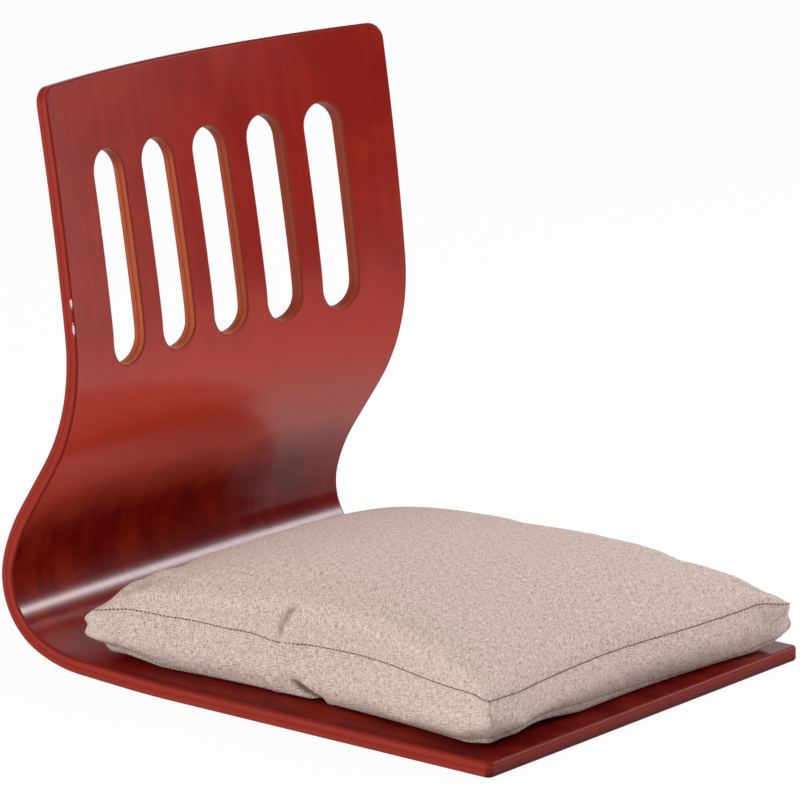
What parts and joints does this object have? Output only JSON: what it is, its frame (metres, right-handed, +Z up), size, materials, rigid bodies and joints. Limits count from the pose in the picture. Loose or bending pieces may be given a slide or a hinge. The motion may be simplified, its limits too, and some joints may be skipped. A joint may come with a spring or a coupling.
{
  "type": "legless floor chair",
  "caption": "Low seat without legs: a moulded plywood shell with a dished, slotted back and a loose boxed cushion with a zipped cover.",
  "frame": {"origin": "on the floor, under the centre of the chair's box", "axes": "+Z up, -Y the way the sitter faces, +X the sitter's left"},
  "size_m": [0.4118, 0.5236, 0.4872],
  "materials": {
    "lacquered_face": "gloss",
    "stained_ply_edge": "satin",
    "dark_felt": "matte",
    "oat_linen": "matte",
    "zip_tape": "matte",
    "zip_metal": "satin",
    "white_wadding": "matte",
    "foam": "matte"
  },
  "bodies": {
    "shell": {"front_face_veneer": "lacquered_face", "core_ply_1": "stained_ply_edge", "core_ply_2": "stained_ply_edge", "core_ply_3": "stained_ply_edge", "core_ply_4": "stained_ply_edge", "core_ply_5": "stained_ply_edge", "core_ply_6": "stained_ply_edge", "core_ply_7": "stained_ply_edge", "back_face_veneer": "lacquered_face", "felt_pad_front_right": "dark_felt", "felt_pad_rear_right": "dark_felt", "felt_pad_front_left": "dark_felt", "felt_pad_rear_left": "dark_felt"},
    "cushion": {"cushion_top_panel": "oat_linen", "cushion_bottom_panel": "oat_linen", "cushion_boxing": "oat_linen", "zip_cloth_upper": "oat_linen", "zip_cloth_lower": "oat_linen", "zip_tape_upper": "zip_tape", "zip_tape_lower": "zip_tape", "zip_coil_upper": "zip_tape", "zip_coil_lower": "zip_tape", "zip_stop_closed": "zip_metal", "zip_stop_open": "zip_metal", "wadding_layer": "white_wadding", "foam_core": "foam"},
    "zip_slider": {"zip_slider": "zip_metal"},
    "zip_pull": {"zip_pull": "zip_metal"}
  },
  "joints": [
    {"name": "cushion_lift", "type": "slide", "parent": "shell", "child": "cushion", "axis": [0, -0.3, 0.9539], "range_m": [0, 0.45]},
    {"name": "zip_slider_slide", "type": "slide", "parent": "cushion", "child": "zip_slider", "axis": [-1, 0, 0], "range_m": [0, 0.284]},
    {"name": "zip_pull_swing", "type": "hinge", "parent": "zip_slider", "child": "zip_pull", "pos_m": [0.1422, 0.16591, 0.0409], "axis": [0, 0, -1], "range_deg": [0, 175]}
  ]
}
